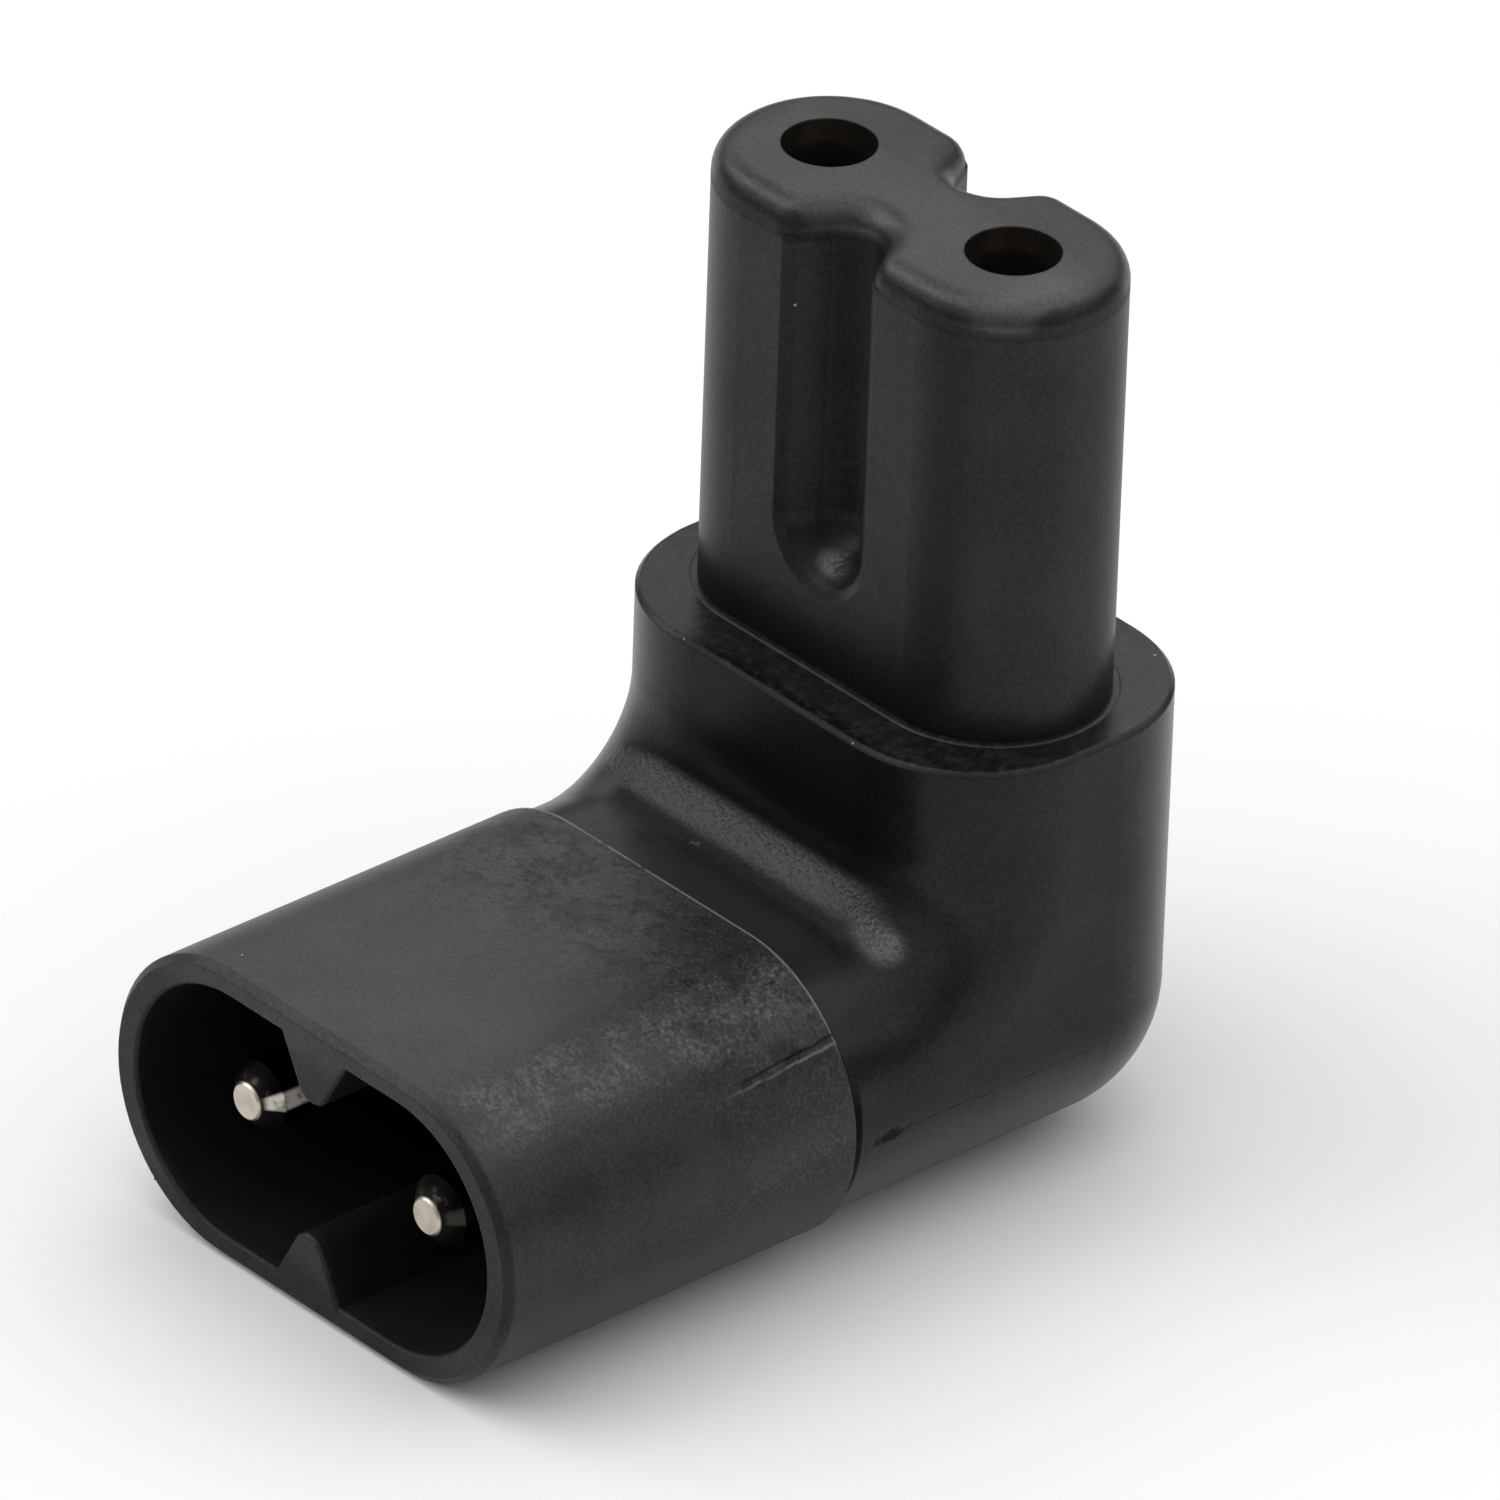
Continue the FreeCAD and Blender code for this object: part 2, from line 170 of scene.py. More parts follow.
def shroudMaterial():
    look = {"dark": 0.009, "light": 0.016, "cloudScale": 0.4, "grainScale": 8.0, "grainShade": 1.4,
            "rough": 0.38, "roughSpread": 0.1, "grainHeight": 0.004, "gloss": 0.345, "glossSpread": 0.165,
            "softEdge": 0.12}
    upper = {"z": (8.7, 9.7), "gloss": 1.65}
    lower = {"z": (2.2, 4.4), "gloss": 1.45}
    flank = {"y": (-6.0, -3.5), "z": (4.5, 5.8), "high": (7.4, 8.4), "gloss": 1.3}
    # shoulder: its level is a painted sheen colour for the highlight along the rounded shoulder
    shoulder = {"x": (4.8, 6.0), "y": (mouthY + 0.3, mouthY + 1.5), "z": (8.7, 9.7), "level": 0.06,
                "patchScale": 0.9, "patchEdge": (0.3, 0.65), "fineScale": 4.0, "fineEdge": (0.35, 0.7),
                "fleckShare": 0.5, "gloss": 1.25}
    hollow = {"x": (1.5, 3.5), "far": (4.6, 5.8), "y": (-10.0, -6.0), "z": (9.5, 10.0), "gloss": 0.75}
    wear = {"y": (-9.5, seamY - 2.0), "z": (7.2, 8.6), "patchScale": 0.8, "patchEdge": (0.42, 0.62),
            "mottleScale": 2.6,
            "mottleEdge": (0.5, 0.66), "dull": 0.45, "fleckScale": 8.0, "fleckEdge": (0.52, 0.76),
            "fleckShare": 0.35, "fleck": 0.11}
    cavity = {"flat": 3.99, "radius": (4.4, 4.5), "y": (mouthY + 0.1, mouthY + 0.5), "gloss": 0.45,
              "level": 0.01}
    rim = {"y": (mouthY + 0.15, mouthY + 0.4), "gloss": 0.58, "lowX": (4.5, 7.0), "lowZ": (1.2, 2.2),
           "lowGloss": 0.6}
    # painted highlight: a pale broken line along the shroud's upper seam edge
    seamGlint = {"y": seamY - 0.16, "half": 0.06, "z": (armAxisZ + 2.4, armAxisZ + 4.4), "level": 0.14,
             "breakScale": 1.4, "breakEdge": (0.25, 0.45)}
    # gap: painted shade, near-black and without gloss, on the shroud's last sliver at the lower seam
    gap = {"y": (seamY - 0.12, seamY - 0.06), "level": 0.001, "gloss": 0.0}
    flow = {"z": 8.72, "slope": 0.045, "gap": 0.2, "half": 0.055, "y": (seamY - 5.2, seamY - 3.0),
            "x": (7.0, 7.4), "wanderScale": 1.6, "wander": 0.16, "dark": 0.002, "darkGloss": 0.2,
            "light": 0.12, "strength": 0.75}
    specks = ((-4.67, -13.93, 10.4, 0.05, 0.3),)
    material, tree, place, axis = startMaterial("shroud plastic")
    colour, rough, height, gloss = plasticBase(tree, place, look)
    gloss = scaleBy(tree, gloss, upper["gloss"], fade(tree, axis[2], *upper["z"]))
    gloss = scaleBy(tree, gloss, lower["gloss"], fadeOut(tree, axis[2], *lower["z"]))
    side = product(tree, fade(tree, axis[2], *flank["z"]), fadeOut(tree, axis[2], *flank["high"]))
    gloss = scaleBy(tree, gloss, flank["gloss"], product(tree, side, fade(tree, axis[1], *flank["y"])))
    rear = fade(tree, axis[1], *wear["y"])
    rearTop = product(tree, rear, fade(tree, axis[2], *wear["z"]))
    patch = fade(tree, noise(tree, place, wear["patchScale"], detail=4.0), *wear["patchEdge"])
    gloss = scaleBy(tree, gloss, 1 - wear["dull"], product(tree, patch, rearTop))
    mottle = fade(tree, noise(tree, place, wear["mottleScale"]), *wear["mottleEdge"])
    gloss = scaleBy(tree, gloss, 1 - wear["dull"], product(tree, mottle, rearTop))
    # band along the shoulder: painted sheen in its colour, more gloss, and more of the real flecks
    sheenAndFleckBand = product(tree, fade(tree, axis[0], *shoulder["x"]), fade(tree, axis[1], *shoulder["y"]),
                     fade(tree, axis[2], *shoulder["z"]))
    gloss = scaleBy(tree, gloss, shoulder["gloss"], sheenAndFleckBand)
    sunk = product(tree, fade(tree, axis[0], *hollow["x"]), fadeOut(tree, axis[0], *hollow["far"]))
    sunk = product(tree, sunk, fade(tree, axis[1], *hollow["y"]), fade(tree, axis[2], *hollow["z"]))
    gloss = scaleBy(tree, gloss, hollow["gloss"], sunk)
    thin = fade(tree, noise(tree, place, shoulder["patchScale"]), *shoulder["patchEdge"])
    fine = fade(tree, noise(tree, place, shoulder["fineScale"], detail=4.0), *shoulder["fineEdge"])
    # painted highlight: lighter grey patches along the shoulder stand in for its sheen
    colour = blendColour(tree, product(tree, sheenAndFleckBand, thin, fine), colour, grey(shoulder["level"]))
    fleck = fade(tree, noise(tree, place, wear["fleckScale"]), *wear["fleckEdge"])
    amount = calc(tree, "MULTIPLY", rear, wear["fleckShare"])
    amount = calc(tree, "MULTIPLY_ADD", sheenAndFleckBand, shoulder["fleckShare"], amount)
    colour = blendColour(tree, product(tree, fleck, amount, thin), colour, grey(wear["fleck"]))
    # painted shade: inside the mouth's cavity the colour is a flat darker grey (cavity level) and the gloss
    # is lowered
    across = calc(tree, "SUBTRACT", calc(tree, "ABSOLUTE", axis[0]), cavity["flat"])
    across = calc(tree, "MAXIMUM", across, 0.0)
    inside = blob(tree, (across, 0.0, axis[2]), (0.0, 0.0, armAxisZ), (1.0, 1.0, 1.0))
    inside = product(tree, fadeOut(tree, inside, *cavity["radius"]), fade(tree, axis[1], *cavity["y"]))
    gloss = scaleBy(tree, gloss, cavity["gloss"], inside)
    colour = blendColour(tree, inside, colour, grey(cavity["level"]))
    onRim = fadeOut(tree, axis[1], *rim["y"])
    gloss = scaleBy(tree, gloss, rim["gloss"], onRim)
    lowRim = product(tree, onRim, fadeOut(tree, axis[0], *rim["lowX"]), fadeOut(tree, axis[2], *rim["lowZ"]))
    gloss = scaleBy(tree, gloss, rim["lowGloss"], lowRim)
    high = fade(tree, axis[2], *seamGlint["z"])
    broken = fade(tree, noise(tree, place, seamGlint["breakScale"]), *seamGlint["breakEdge"])
    # painted highlight along the upper seam edge
    seamGlintLine = product(tree, band(tree, axis[1], seamGlint["y"], seamGlint["half"]), high, broken)
    colour = blendColour(tree, seamGlintLine, colour, grey(seamGlint["level"]))
    # painted shade along the lower seam, below the painted seam highlight
    gapShade = product(tree, fade(tree, axis[1], *gap["y"]), calc(tree, "SUBTRACT", 1.0, high))
    colour = blendColour(tree, gapShade, colour, grey(gap["level"]))
    gloss = scaleBy(tree, gloss, gap["gloss"], gapShade)
    side = product(tree, fade(tree, axis[0], *flow["x"]), fade(tree, axis[1], *flow["y"]))
    waves = noise(tree, place, flow["wanderScale"], detail=2.0)
    wander = calc(tree, "MULTIPLY_ADD", waves, flow["wander"], axis[2])
    wander = calc(tree, "MULTIPLY_ADD", axis[1], -flow["slope"], wander)
    side = calc(tree, "MULTIPLY", side, flow["strength"])
    # flow mark: a dark dull line, with a paler broken line beside it as a painted highlight on the mark's
    # edge
    darkLine = product(tree, band(tree, wander, flow["z"], flow["half"]), side)
    flowHighlight = product(tree, band(tree, wander, flow["z"] - flow["gap"], flow["half"]), side, broken)
    colour = blendColour(tree, darkLine, colour, grey(flow["dark"]))
    gloss = scaleBy(tree, gloss, flow["darkGloss"], darkLine)
    colour = blendColour(tree, flowHighlight, colour, grey(flow["light"]))
    colour = addSpecks(tree, axis, colour, specks)
    finishPlastic(tree, look, colour, rough, height, gloss)
    return material


def elbowMaterial():
    look = {"dark": 0.006, "light": 0.01, "cloudScale": 0.3, "grainScale": 7.0, "grainShade": 1.3,
            "rough": 0.25, "roughSpread": 0.08, "grainHeight": 0.005, "gloss": 0.23, "glossSpread": 0.105,
            "softEdge": 0.1}
    valley = {"centre": (0.0, 2.55, 10.75), "stretch": (40.0, 0.75, 0.75), "edge": (0.3, 1.1),
              "end": (6.6, 2.5, 10.0), "endStretch": (1.5, 0.75, 0.75), "endEdge": (0.5, 1.2),
              "endGloss": 2.2, "grainScale": 7.0, "grainHeight": 0.06, "gloss": 2.6, "around": (3.0, 4.5),
              "aroundX": (6.2, 7.2), "aroundY": (0.6, 1.3), "aroundGloss": 0.62}
    corner = {"centre": (7.8, 3.9, 10.2), "stretch": (1.8, 1.8, 1.8), "edge": (0.4, 1.0), "gloss": 1.5}
    sheenSpot = {"centre": (-6.0, 1.85, 9.95), "stretch": (1.2, 1.0, 1.0), "edge": (0.3, 1.0), "level": 0.04}
    brow = {"centre": (7.9, 1.5, 8.55), "stretch": (0.8, 2.0, 0.5), "edge": (0.5, 1.2), "gloss": 0.8}
    collar = {"x": (-4.9, -3.2), "far": (4.5, 6.5), "y": (3.5, 4.2), "z": (10.9, 11.5), "gloss": 0.5,
              "level": 0.003}
    stubSheen = {"x": (-3.0, -1.5), "y": (0.7, 1.5), "z": (9.0, 9.5), "level": 0.018}
    heel = {"z": (3.0, 5.5), "gloss": 2.2}
    ledge = {"x": (3.0, 5.0), "z": (ledgeZ - 0.1, ledgeZ - 0.02), "scale": 3.0, "edge": (0.4, 0.8),
             "level": 0.022, "gloss": 1.35}
    parting = {"x": (elbowSideX - 1.0, elbowSideX - 0.5), "y": (5.6, 11.6), "z": 4.75, "half": 0.05,
               "wanderScale": 0.4, "wander": 0.5, "breakScale": 0.8, "breakEdge": (0.3, 0.6), "level": 0.002,
               "depth": 0.015, "strength": 0.6}
    seam = {"y": (seamY + 0.36, seamY + 0.46), "z": (6.0, 7.5)}
    gate = {"centre": (elbowSideX, 0.95, 4.75), "stretch": (0.6, 0.8, 0.26), "edge": (0.4, 1.2),
            "roughScale": 2.5, "rough": 1.2, "level": 0.003, "depth": 0.06, "dull": 0.85, "gloss": 0.15}
    specks = ((6.09, 14.26, 15.8, 0.06, 0.3), (-3.9, 3.4, 15.75, 0.05, 0.2), (4.1, 3.38, 15.72, 0.05, 0.2),
              (-1.06, 1.68, 10.25, 0.14, 0.05), (-1.25, 1.62, 10.25, 0.1, 0.05))
    material, tree, place, axis = startMaterial("elbow plastic")
    colour, rough, height, gloss = plasticBase(tree, place, look)
    gloss = scaleBy(tree, gloss, heel["gloss"], fadeOut(tree, axis[2], *heel["z"]))
    bend = blob(tree, axis, valley["centre"], valley["stretch"])
    bendEnd = blob(tree, axis, valley["end"], valley["endStretch"])
    bend = calc(tree, "MINIMUM", bend, bendEnd)
    inBend = fadeOut(tree, bend, *valley["edge"])
    coarse = calc(tree, "MULTIPLY", noise(tree, place, valley["grainScale"]), valley["grainHeight"])
    height = calc(tree, "MULTIPLY_ADD", coarse, inBend, height)
    around = product(tree, fadeOut(tree, bend, *valley["around"]), fade(tree, axis[1], *valley["aroundY"]))
    across = calc(tree, "ABSOLUTE", axis[0])
    around = product(tree, around, fadeOut(tree, across, *valley["aroundX"]))
    gloss = scaleBy(tree, gloss, valley["aroundGloss"], around)
    for tone in (corner, brow):
        near = fadeOut(tree, blob(tree, axis, tone["centre"], tone["stretch"]), *tone["edge"])
        gloss = scaleBy(tree, gloss, tone["gloss"], near)
    # painted highlight: a lighter grey patch for the sheen at the left end of the bend
    sheenPainted = fadeOut(tree, blob(tree, axis, sheenSpot["centre"], sheenSpot["stretch"]), *sheenSpot["edge"])
    colour = blendColour(tree, sheenPainted, colour, grey(sheenSpot["level"]))
    # painted highlight: a lighter grey on the stub's top by the seam, where the bend's highlight spreads
    lower = product(tree, fade(tree, axis[0], *stubSheen["x"]), fadeOut(tree, axis[1], *stubSheen["y"]))
    lower = product(tree, lower, fade(tree, axis[2], *stubSheen["z"]))
    colour = blendColour(tree, lower, colour, grey(stubSheen["level"]))
    # painted shade: the collar front under the ledge gets a darker colour (collar level) and less gloss
    collarShade = product(tree, fade(tree, axis[0], *collar["x"]), fadeOut(tree, axis[0], *collar["far"]))
    collarShade = product(tree, collarShade, fadeOut(tree, axis[1], *collar["y"]), fade(tree, axis[2], *collar["z"]))
    gloss = scaleBy(tree, gloss, collar["gloss"], collarShade)
    colour = blendColour(tree, collarShade, colour, grey(collar["level"]))
    gloss = scaleBy(tree, gloss, valley["gloss"], inBend)
    gloss = scaleBy(tree, gloss, valley["endGloss"], fadeOut(tree, bendEnd, *valley["endEdge"]))
    speckled = fade(tree, noise(tree, place, ledge["scale"], detail=4.0), *ledge["edge"])
    onLedge = fade(tree, axis[2], *ledge["z"])
    colour = blendColour(tree, product(tree, speckled, onLedge), colour, grey(ledge["level"]))
    gloss = scaleBy(tree, gloss, ledge["gloss"], product(tree, onLedge, fade(tree, axis[0], *ledge["x"])))
    outside = fade(tree, axis[0], *parting["x"])
    waves = noise(tree, place, parting["wanderScale"], detail=2.0)
    wander = calc(tree, "MULTIPLY_ADD", waves, parting["wander"], axis[2])
    partingMiddle = parting["z"] + parting["wander"] * noiseMiddle
    line = product(tree, band(tree, wander, partingMiddle, parting["half"]), outside)
    line = product(tree, line, fadeOut(tree, axis[1], *parting["y"]))
    broken = fade(tree, noise(tree, place, parting["breakScale"], detail=2.0), *parting["breakEdge"])
    line = product(tree, line, broken, parting["strength"])
    colour = blendColour(tree, line, colour, grey(parting["level"]))
    height = calc(tree, "MULTIPLY_ADD", line, -parting["depth"], height)
    spot = blob(tree, axis, gate["centre"], gate["stretch"])
    ragged = calc(tree, "SUBTRACT", noise(tree, place, gate["roughScale"], detail=2.0), noiseMiddle)
    spot = fadeOut(tree, calc(tree, "MULTIPLY_ADD", ragged, gate["rough"], spot), *gate["edge"])
    colour = blendColour(tree, spot, colour, grey(gate["level"]))
    height = calc(tree, "MULTIPLY_ADD", spot, -gate["depth"], height)
    # painted shade: a thin dark band on the elbow along the lower seam, coloured with the gate's dark level
    # and dulled
    seamShade = product(tree, fadeOut(tree, axis[1], *seam["y"]), fadeOut(tree, axis[2], *seam["z"]))
    dull = calc(tree, "MAXIMUM", calc(tree, "MULTIPLY", spot, gate["dull"]), line)
    gloss = scaleBy(tree, gloss, gate["gloss"], calc(tree, "MAXIMUM", dull, seamShade))
    colour = blendColour(tree, seamShade, colour, grey(gate["level"]))
    colour = addSpecks(tree, axis, colour, specks)
    finishPlastic(tree, look, colour, rough, height, gloss)
    return material


def noseMaterial():
    look = {"dark": 0.007, "light": 0.011, "cloudScale": 0.3, "grainScale": 7.0, "grainShade": 1.3,
            "rough": 0.33, "roughSpread": 0.08, "grainHeight": 0.005, "gloss": 0.19, "glossSpread": 0.1,
            "softEdge": 0.1}
    footShade = {"x": (4.5, 6.0), "z": (ledgeZ + 0.5, ledgeZ + 3.5), "gloss": 0.45, "level": 0.005}
    worn = {"x": (5.4, 6.8), "y": (8.8, 9.8), "gloss": 1.4}
    flare = {"x": (-1.9, -1.7), "far": (-1.35, -1.1), "y": (5.5, 5.7), "gloss": 1.45}
    inner = {"x": (-1.25, -1.0), "far": (0.9, 1.3), "y": (6.0, 6.6), "z": (19.9, 20.8),
             "high": (noseTipZ - 1.4, noseTipZ - 0.9), "deep": (8.0, 8.8), "gloss": 0.6}
    turn = {"y": (9.6, 10.6), "x": (-7.0, -6.0), "gloss": 0.75}
    capFront = {"y": (5.65, 6.3), "x": (7.2, 7.5), "z": (noseTipZ - 0.37, noseTipZ - 0.12), "gloss": 0.33}
    cap = {"z": (noseTipZ - 1.15, noseTipZ - 0.7), "gloss": 3.15, "crease": noseTipZ - 1.0,
           "creaseHalf": 0.25, "creaseGloss": 0.7, "creaseRough": 0.1}
    runOut = {"centre": (-0.05, 6.25, 19.2), "stretch": (0.95, 0.65, 0.55), "edge": (0.4, 1.0),
              "grainScale": 6.0, "grainHeight": 0.02, "gloss": 4.0}
    specks = ((-1.77, 5.66, 27.97, 0.06, 0.35),)
    material, tree, place, axis = startMaterial("nose plastic")
    colour, rough, height, gloss = plasticBase(tree, place, look)
    # painted shade: a darker colour and less gloss low on the nose, near its foot on the ledge
    low = product(tree, fadeOut(tree, axis[2], *footShade["z"]), fadeOut(tree, axis[0], *footShade["x"]))
    gloss = scaleBy(tree, gloss, footShade["gloss"], low)
    colour = blendColour(tree, low, colour, grey(footShade["level"]))
    handled = product(tree, fade(tree, axis[0], *worn["x"]), fadeOut(tree, axis[1], *worn["y"]))
    gloss = scaleBy(tree, gloss, worn["gloss"], handled)
    groove = product(tree, fadeOut(tree, axis[2], *inner["high"]), fadeOut(tree, axis[1], *inner["deep"]))
    flared = product(tree, fade(tree, axis[0], *flare["x"]), fadeOut(tree, axis[0], *flare["far"]))
    flared = product(tree, flared, fade(tree, axis[1], *flare["y"]), groove)
    gloss = scaleBy(tree, gloss, flare["gloss"], flared)
    inside = product(tree, fade(tree, axis[0], *inner["x"]), fadeOut(tree, axis[0], *inner["far"]))
    inside = product(tree, inside, fade(tree, axis[1], *inner["y"]), fade(tree, axis[2], *inner["z"]))
    gloss = scaleBy(tree, gloss, inner["gloss"], product(tree, inside, groove))
    turned = calc(tree, "MAXIMUM", fade(tree, axis[1], *turn["y"]), fadeOut(tree, axis[0], *turn["x"]))
    gloss = scaleBy(tree, gloss, turn["gloss"], turned)
    onCap = fade(tree, axis[2], *cap["z"])
    gloss = scaleBy(tree, gloss, cap["gloss"], onCap)
    edges = calc(tree, "MAXIMUM", fadeOut(tree, axis[1], *capFront["y"]), fade(tree, axis[0], *capFront["x"]))
    shaded = product(tree, onCap, edges, fadeOut(tree, axis[2], *capFront["z"]))
    gloss = scaleBy(tree, gloss, capFront["gloss"], shaded)
    crease = band(tree, axis[2], cap["crease"], cap["creaseHalf"])
    gloss = scaleBy(tree, gloss, cap["creaseGloss"], crease)
    scraped = fadeOut(tree, blob(tree, axis, runOut["centre"], runOut["stretch"]), *runOut["edge"])
    gloss = scaleBy(tree, gloss, runOut["gloss"], scraped)
    coarse = calc(tree, "MULTIPLY", noise(tree, place, runOut["grainScale"]), runOut["grainHeight"])
    height = calc(tree, "MULTIPLY_ADD", coarse, scraped, height)
    rough = calc(tree, "MULTIPLY_ADD", crease, cap["creaseRough"], rough)
    colour = addSpecks(tree, axis, colour, specks)
    finishPlastic(tree, look, colour, rough, height, gloss)
    return material


def metalBase(tree, place, axis, look):
    cloud = noise(tree, place, look["cloudScale"], detail=4.0)
    turning = addNode(tree, "ShaderNodeCombineXYZ", {"X": axis[look["turnAxis"]]}).outputs[0]
    rings = noise(tree, turning, look["ringScale"])
    colour = blendColour(tree, fade(tree, cloud, *look["wornEdge"]), look["base"], look["worn"])
    rough = calc(tree, "MULTIPLY_ADD", cloud, look["roughSpread"], look["rough"])
    bumpInputs = {"Height": rings, "Strength": look["bump"], "Distance": look["ringDepth"] * mm}
    return colour, rough, addNode(tree, "ShaderNodeBump", bumpInputs).outputs[0]


def finishMetal(tree, colour, rough, normal):
    shader = tree.nodes["Principled BSDF"]
    shader.inputs["Metallic"].default_value = 1.0
    tree.links.new(colour, shader.inputs["Base Color"])
    tree.links.new(rough, shader.inputs["Roughness"])
    tree.links.new(normal, shader.inputs["Normal"])
    return shader


def pinMaterial(name, centreX, streakStrength):
    look = {"base": (0.62, 0.57, 0.48, 1), "worn": (0.5, 0.45, 0.37, 1), "wornEdge": (0.35, 0.7),
            "cloudScale": 1.6, "turnAxis": 1, "ringScale": 6.0, "ringDepth": 0.05, "rough": 0.25,
            "roughSpread": 0.15, "bump": 0.3}
    # shank shade: painted shade behind the tip face, darkest towards the pin's outer edge
    shankShade = {"back": (0.03, 0.1), "level": grey(0.012, 0.1), "edge": (0.7, 1.05), "edgeLevel": grey(0.004),
               "rough": 0.2}
    # painted highlight: a bright streak along the pin's side in place of a reflection
    highlightStreak = {"facing": (0.965, 0.26), "width": (0.95, 0.985), "start": (0.1, 0.3), "end": (2.0, 2.6),
              "breakScale": 3.0, "breakEdge": (0.15, 0.5), "level": (0.85, 0.8, 0.7, 1)}
    fleck = {"scale": 3.5, "edge": (0.5, 0.66), "reach": (0.75, 1.0), "z": (armAxisZ + 0.1, armAxisZ + 0.4),
             "strength": 0.06}
    material, tree, place, axis = startMaterial(name)
    colour, rough, normal = metalBase(tree, place, axis, look)
    back = calc(tree, "SUBTRACT", axis[1], pinTipY)
    # painted shade: behind the bright tip face the pin is coloured near-black, darker towards its outer edge,
    # and rougher
    behind = fade(tree, back, *shankShade["back"])
    radius = blob(tree, (axis[0], 0.0, axis[2]), (centreX, 0.0, armAxisZ), (1.0, 1.0, 1.0))
    shankShadeColour = blendColour(tree, fade(tree, radius, *shankShade["edge"]), shankShade["level"], shankShade["edgeLevel"])
    colour = blendColour(tree, behind, colour, shankShadeColour)
    rough = calc(tree, "MULTIPLY_ADD", behind, shankShade["rough"], rough)
    # painted highlight: a bright, less metallic streak along the side of the pin
    out = calc(tree, "MULTIPLY", calc(tree, "SUBTRACT", axis[0], centreX), highlightStreak["facing"][0])
    out = calc(tree, "MULTIPLY_ADD", calc(tree, "SUBTRACT", axis[2], armAxisZ), highlightStreak["facing"][1], out)
    lit = fade(tree, calc(tree, "DIVIDE", out, radius), *highlightStreak["width"])
    lit = product(tree, lit, fade(tree, back, *highlightStreak["start"]), fadeOut(tree, back, *highlightStreak["end"]))
    broken = fade(tree, noise(tree, place, highlightStreak["breakScale"]), *highlightStreak["breakEdge"])
    lit = product(tree, lit, broken, streakStrength)
    # painted glints: faint bright flecks on the upper half of the shank, added into the painted highlight
    upperGlints = product(tree, fade(tree, noise(tree, place, fleck["scale"], detail=2.0), *fleck["edge"]), behind)
    upperGlints = product(tree, upperGlints, fadeOut(tree, radius, *fleck["reach"]), fade(tree, axis[2], *fleck["z"]))
    lit = calc(tree, "MAXIMUM", lit, calc(tree, "MULTIPLY", upperGlints, fleck["strength"]))
    colour = blendColour(tree, lit, colour, highlightStreak["level"])
    shader = finishMetal(tree, colour, rough, normal)
    tree.links.new(calc(tree, "SUBTRACT", 1.0, lit), shader.inputs["Metallic"])
    return material


def brassMaterial():
    look = {"base": (0.6, 0.43, 0.17, 1), "worn": (0.36, 0.25, 0.11, 1), "wornEdge": (0.35, 0.7),
            "cloudScale": 0.8, "turnAxis": 2, "ringScale": 5.0, "ringDepth": 0.05, "rough": 0.35,
            "roughSpread": 0.2, "bump": 0.3}
    material, tree, place, axis = startMaterial("contact brass")
    finishMetal(tree, *metalBase(tree, place, axis, look))
    return material


def paint(node, material):
    mesh = nodes[node].data
    mesh.materials.clear()
    mesh.materials.append(material)


brass = brassMaterial()
paint("inlet_shroud", shroudMaterial())
paint("elbow_overmould", elbowMaterial())
paint("nose_insert", noseMaterial())
for side, streakStrength in (("left", 1.0), ("right", 0.05)):
    low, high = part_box("pin_" + side)
    paint("pin_" + side, pinMaterial(side + " pin plating", (low[0] + high[0]) / 2 / mm, streakStrength))
    paint("contact_sleeve_" + side, brass)
    paint("contact_link_" + side, brass)
print("materials painted")


def stadiumPoints(flat, radius, centreY, z, steps):
    points = []
    for end in (1, -1):
        for step in range(steps + 1):
            angle = math.pi * (step / steps - 0.5)
            across = end * (flat + radius * math.cos(angle))
            points.append(Vector((across, centreY + end * radius * math.sin(angle), z)) * mm)
    return points


def addPiece(name, build, node):
    mesh = bpy.data.meshes.new(name)
    bmesh.ops.recalc_face_normals(build, faces=build.faces)
    build.to_mesh(mesh)
    build.free()
    mesh.shade_smooth()
    mesh.materials.append(nodes[node].data.materials[0])
    piece = bpy.data.objects.new(name, mesh)
    bpy.context.scene.collection.objects.link(piece)
    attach(piece, "root")


def addFootLip():  # low ring on the ledge, round the nose's foot
    ring = {"steps": 48, "profile": ((0.0, 0.05), (0.16, 0.05), (0.22, 0.035), (0.26, 0.0))}
    build = bmesh.new()
    loops = []
    for reach, rise in ring["profile"]:
        outline = stadiumPoints(noseFlat, noseRadius + reach, noseY, ledgeZ + rise, ring["steps"])
        loops.append([build.verts.new(point) for point in outline])
    for inner, outer in zip(loops, loops[1:]):
        for index in range(len(inner)):
            after = (index + 1) % len(inner)
            build.faces.new((inner[index], outer[index], outer[after], inner[after]))
    addPiece("foot_lip", build, "elbow_overmould")


def addFlash(name, flash):  # small lump of moulding flash
    lumps = {"height": 0.25, "waves": (7, 6, 5), "starts": (3, 1, 0)}
    build = bmesh.new()
    bmesh.ops.create_icosphere(build, subdivisions=3, radius=1.0)
    turn = Matrix.Rotation(math.radians(flash["turn"]), 3, flash["about"])
    for vert in build.verts:
        waves = [math.sin(wave * value + start)
                 for wave, value, start in zip(lumps["waves"], vert.co, lumps["starts"])]
        rough = 1 + lumps["height"] * math.prod(waves)
        size = Vector([value * rough * part for value, part in zip(vert.co, flash["size"])])
        vert.co = (Vector(flash["place"]) + turn @ size) * mm
    addPiece(name, build, flash["node"])


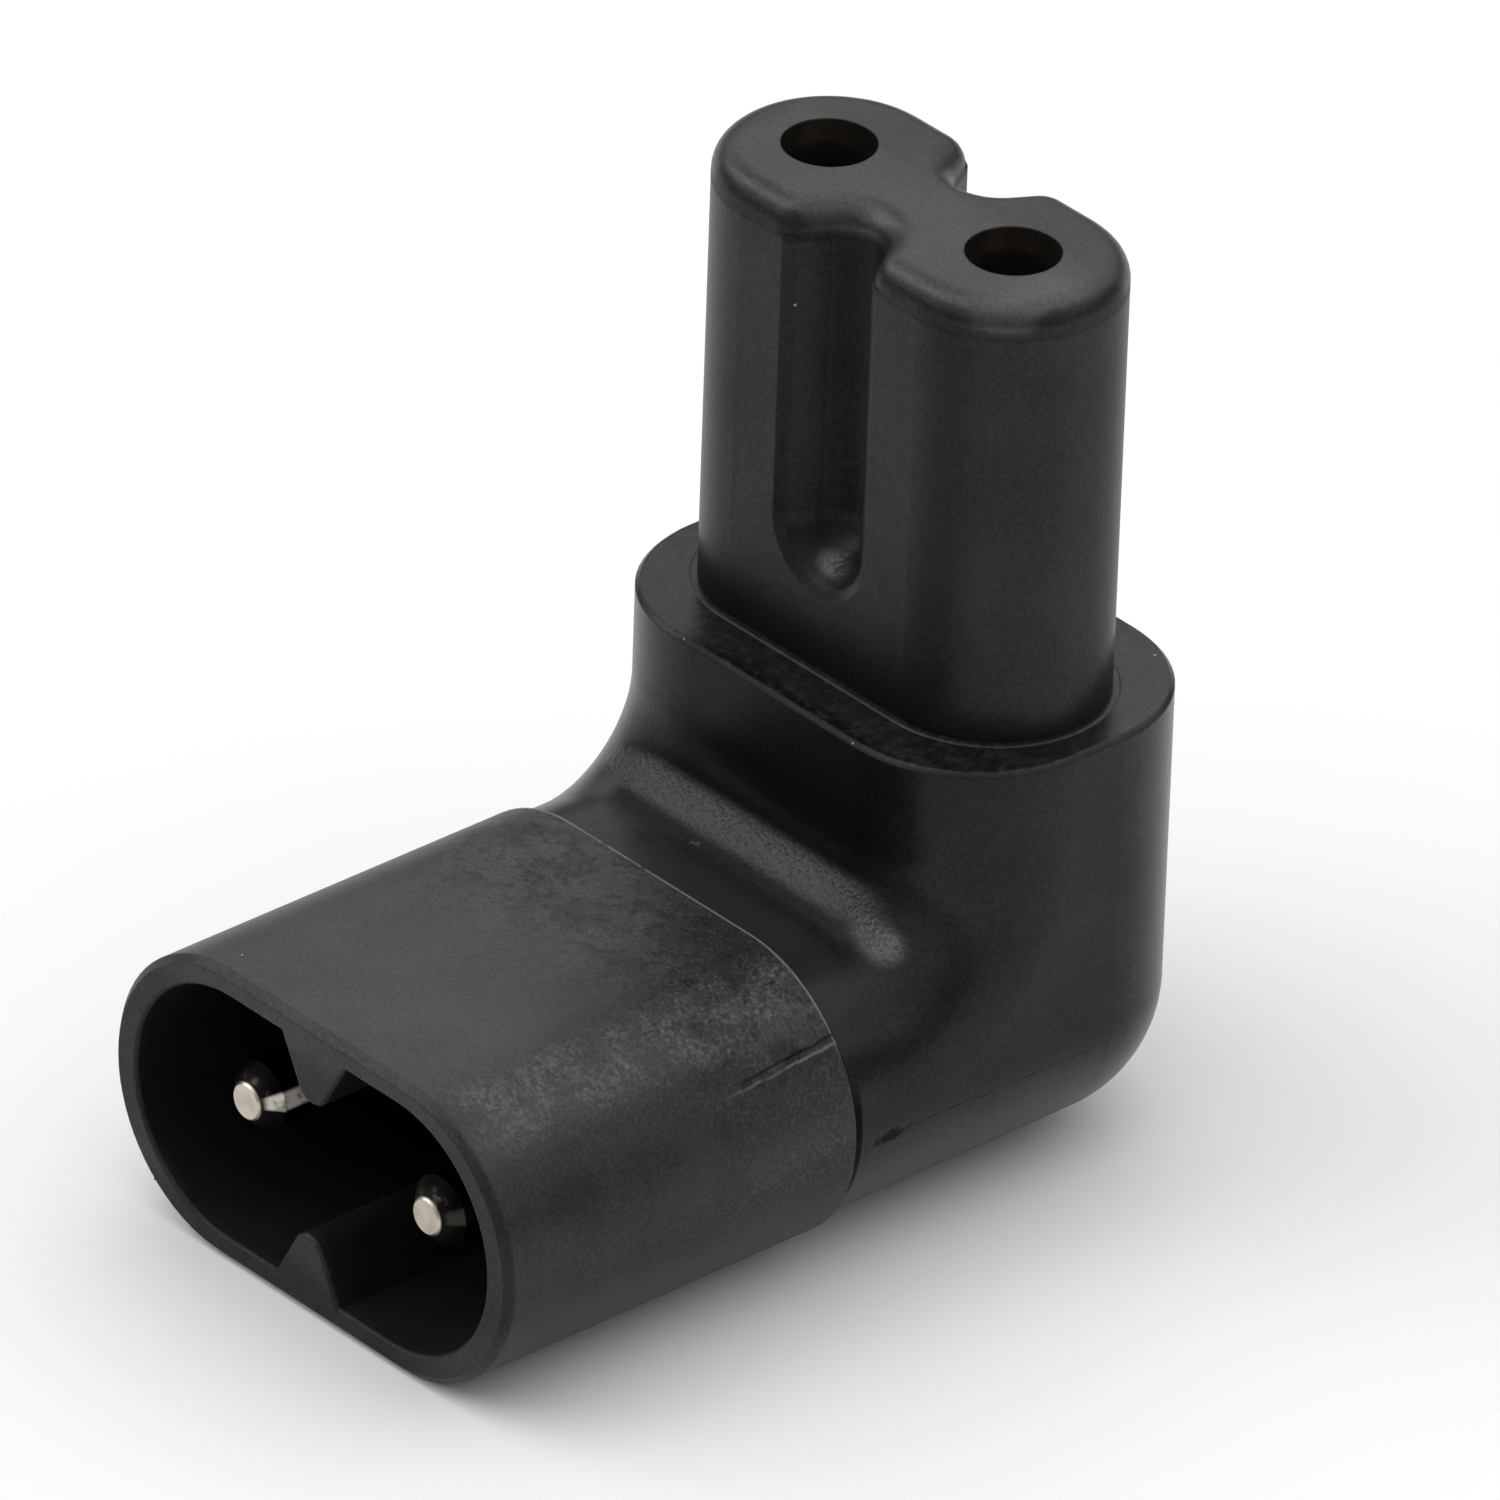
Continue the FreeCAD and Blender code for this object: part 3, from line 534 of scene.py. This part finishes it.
bendNick = {"place": (-1.06, 1.68, 10.2), "size": (0.2, 0.07, 0.05), "turn": 25, "about": "Z",
            "node": "elbow_overmould", "slot": "elbow_plastic"}
rimNick = {"place": (6.75, -14.83, 9.66), "size": (0.16, 0.07, 0.06), "turn": 35, "about": "Y",
           "node": "inlet_shroud", "slot": "shroud_plastic"}
rimSpur = {"place": (-7.53, -14.7, 1.13), "size": (0.26, 0.08, 0.06), "turn": -40, "about": "Y",
           "node": "inlet_shroud", "slot": "shroud_plastic"}
addFootLip()
addFlash("bend_nick", bendNick)
addFlash("rim_spur", rimSpur)
addFlash("rim_nick", rimNick)
print("details added")


def addFloor():
    look = {"size": 4.0, "dark": 0.865, "light": 0.89, "cloudScale": 0.01, "rough": 0.9, "gloss": 0.1}
    bpy.ops.mesh.primitive_plane_add(size=look["size"])
    floor = bpy.context.object
    floor.name = "floor"
    material, tree, place, axis = startMaterial("floor paper")
    cloud = noise(tree, place, look["cloudScale"])
    colour = blendColour(tree, cloud, grey(look["dark"]), grey(look["light"]))
    shader = tree.nodes["Principled BSDF"]
    shader.inputs["Roughness"].default_value = look["rough"]
    shader.inputs["Specular IOR Level"].default_value = look["gloss"]
    tree.links.new(colour, shader.inputs["Base Color"])
    floor.data.materials.append(material)


def addLamp(name, lamp):
    data = bpy.data.lights.new(name, "AREA")
    data.shape = "DISK"
    data.size = lamp["size"]
    data.energy = lamp["energy"]
    holder = bpy.data.objects.new(name, data)
    bpy.context.scene.collection.objects.link(holder)
    holder.location = lamp["place"]
    aim = Vector(lamp["aim"]) - Vector(lamp["place"])
    holder.rotation_euler = aim.to_track_quat("-Z", "Y").to_euler()


def towards(tree, direction, spot):  # 1 in the middle of a spot of the tent, 0 outside it
    facing = addNode(tree, "ShaderNodeVectorMath", {0: direction, 1: spot["middle"]}, operation="DOT_PRODUCT")
    return fade(tree, facing.outputs["Value"], *spot["edge"])


def addWorld():  # white tent, dim near the ground and open towards the camera
    tent = {"low": 0.17, "high": 1.1, "rise": (0.22, 0.42)}
    opening = {"middle": (0.74, -0.67, 0.0), "edge": (0.35, 0.75), "change": -0.7}
    panel = {"middle": (-0.64, -0.48, 0.6), "edge": (0.86, 0.94), "change": 1.2}
    seam = {"middle": (-0.64, 0.1, 0.76), "edge": (0.93, 0.98), "change": -0.8}
    world = bpy.data.worlds.new("studio")
    world.use_nodes = True
    tree = world.node_tree
    direction = addNode(tree, "ShaderNodeTexCoord").outputs["Generated"]
    height = addNode(tree, "ShaderNodeSeparateXYZ", {"Vector": direction}).outputs["Z"]
    wall = fade(tree, height, *tent["rise"])
    for spot in (opening, panel, seam):
        wall = scaleBy(tree, wall, 1 + spot["change"], towards(tree, direction, spot))
    level = calc(tree, "MULTIPLY_ADD", wall, tent["high"], tent["low"])
    tree.links.new(level, tree.nodes["Background"].inputs["Strength"])
    tree.nodes["Background"].inputs["Color"].default_value = (1.0, 1.0, 1.0, 1.0)
    bpy.context.scene.world = world


keyLamp = {"place": (-0.25, 0.05, 0.6), "aim": (0, 0, 0.015), "size": 0.4, "energy": 0.25}
addFloor()
addWorld()
addLamp("key", keyLamp)
print("studio set")


def addCamera():
    fit = {"azimuth": 47.683, "elevation": 31.051, "roll": 2.016, "distance": 807.833, "lens": 612.618,
           "sensor": 36.0, "right": -4.362, "up": 9.721, "clip": 0.01}
    azimuth, elevation, roll = (math.radians(fit[name]) for name in ("azimuth", "elevation", "roll"))
    level = math.cos(elevation)
    back = Vector((math.sin(azimuth) * level, -math.cos(azimuth) * level, math.sin(elevation)))
    flatRight = Vector((math.cos(azimuth), math.sin(azimuth), 0))
    flatUp = back.cross(flatRight)
    right = flatRight * math.cos(roll) + flatUp * math.sin(roll)
    up = flatUp * math.cos(roll) - flatRight * math.sin(roll)
    aim = Vector((0, noseY, 0))
    place = (aim + right * fit["right"] + up * fit["up"] + back * fit["distance"]) * mm
    data = bpy.data.cameras.new("camera")
    data.lens = fit["lens"]
    data.sensor_width = fit["sensor"]
    data.clip_start = fit["clip"]
    camera = bpy.data.objects.new("camera", data)
    camera.matrix_world = Matrix.Translation(place) @ Matrix((right, up, back)).transposed().to_4x4()
    bpy.context.scene.collection.objects.link(camera)
    bpy.context.scene.camera = camera


addCamera()
bpy.context.scene.view_settings.view_transform = "Standard"
print("camera placed")
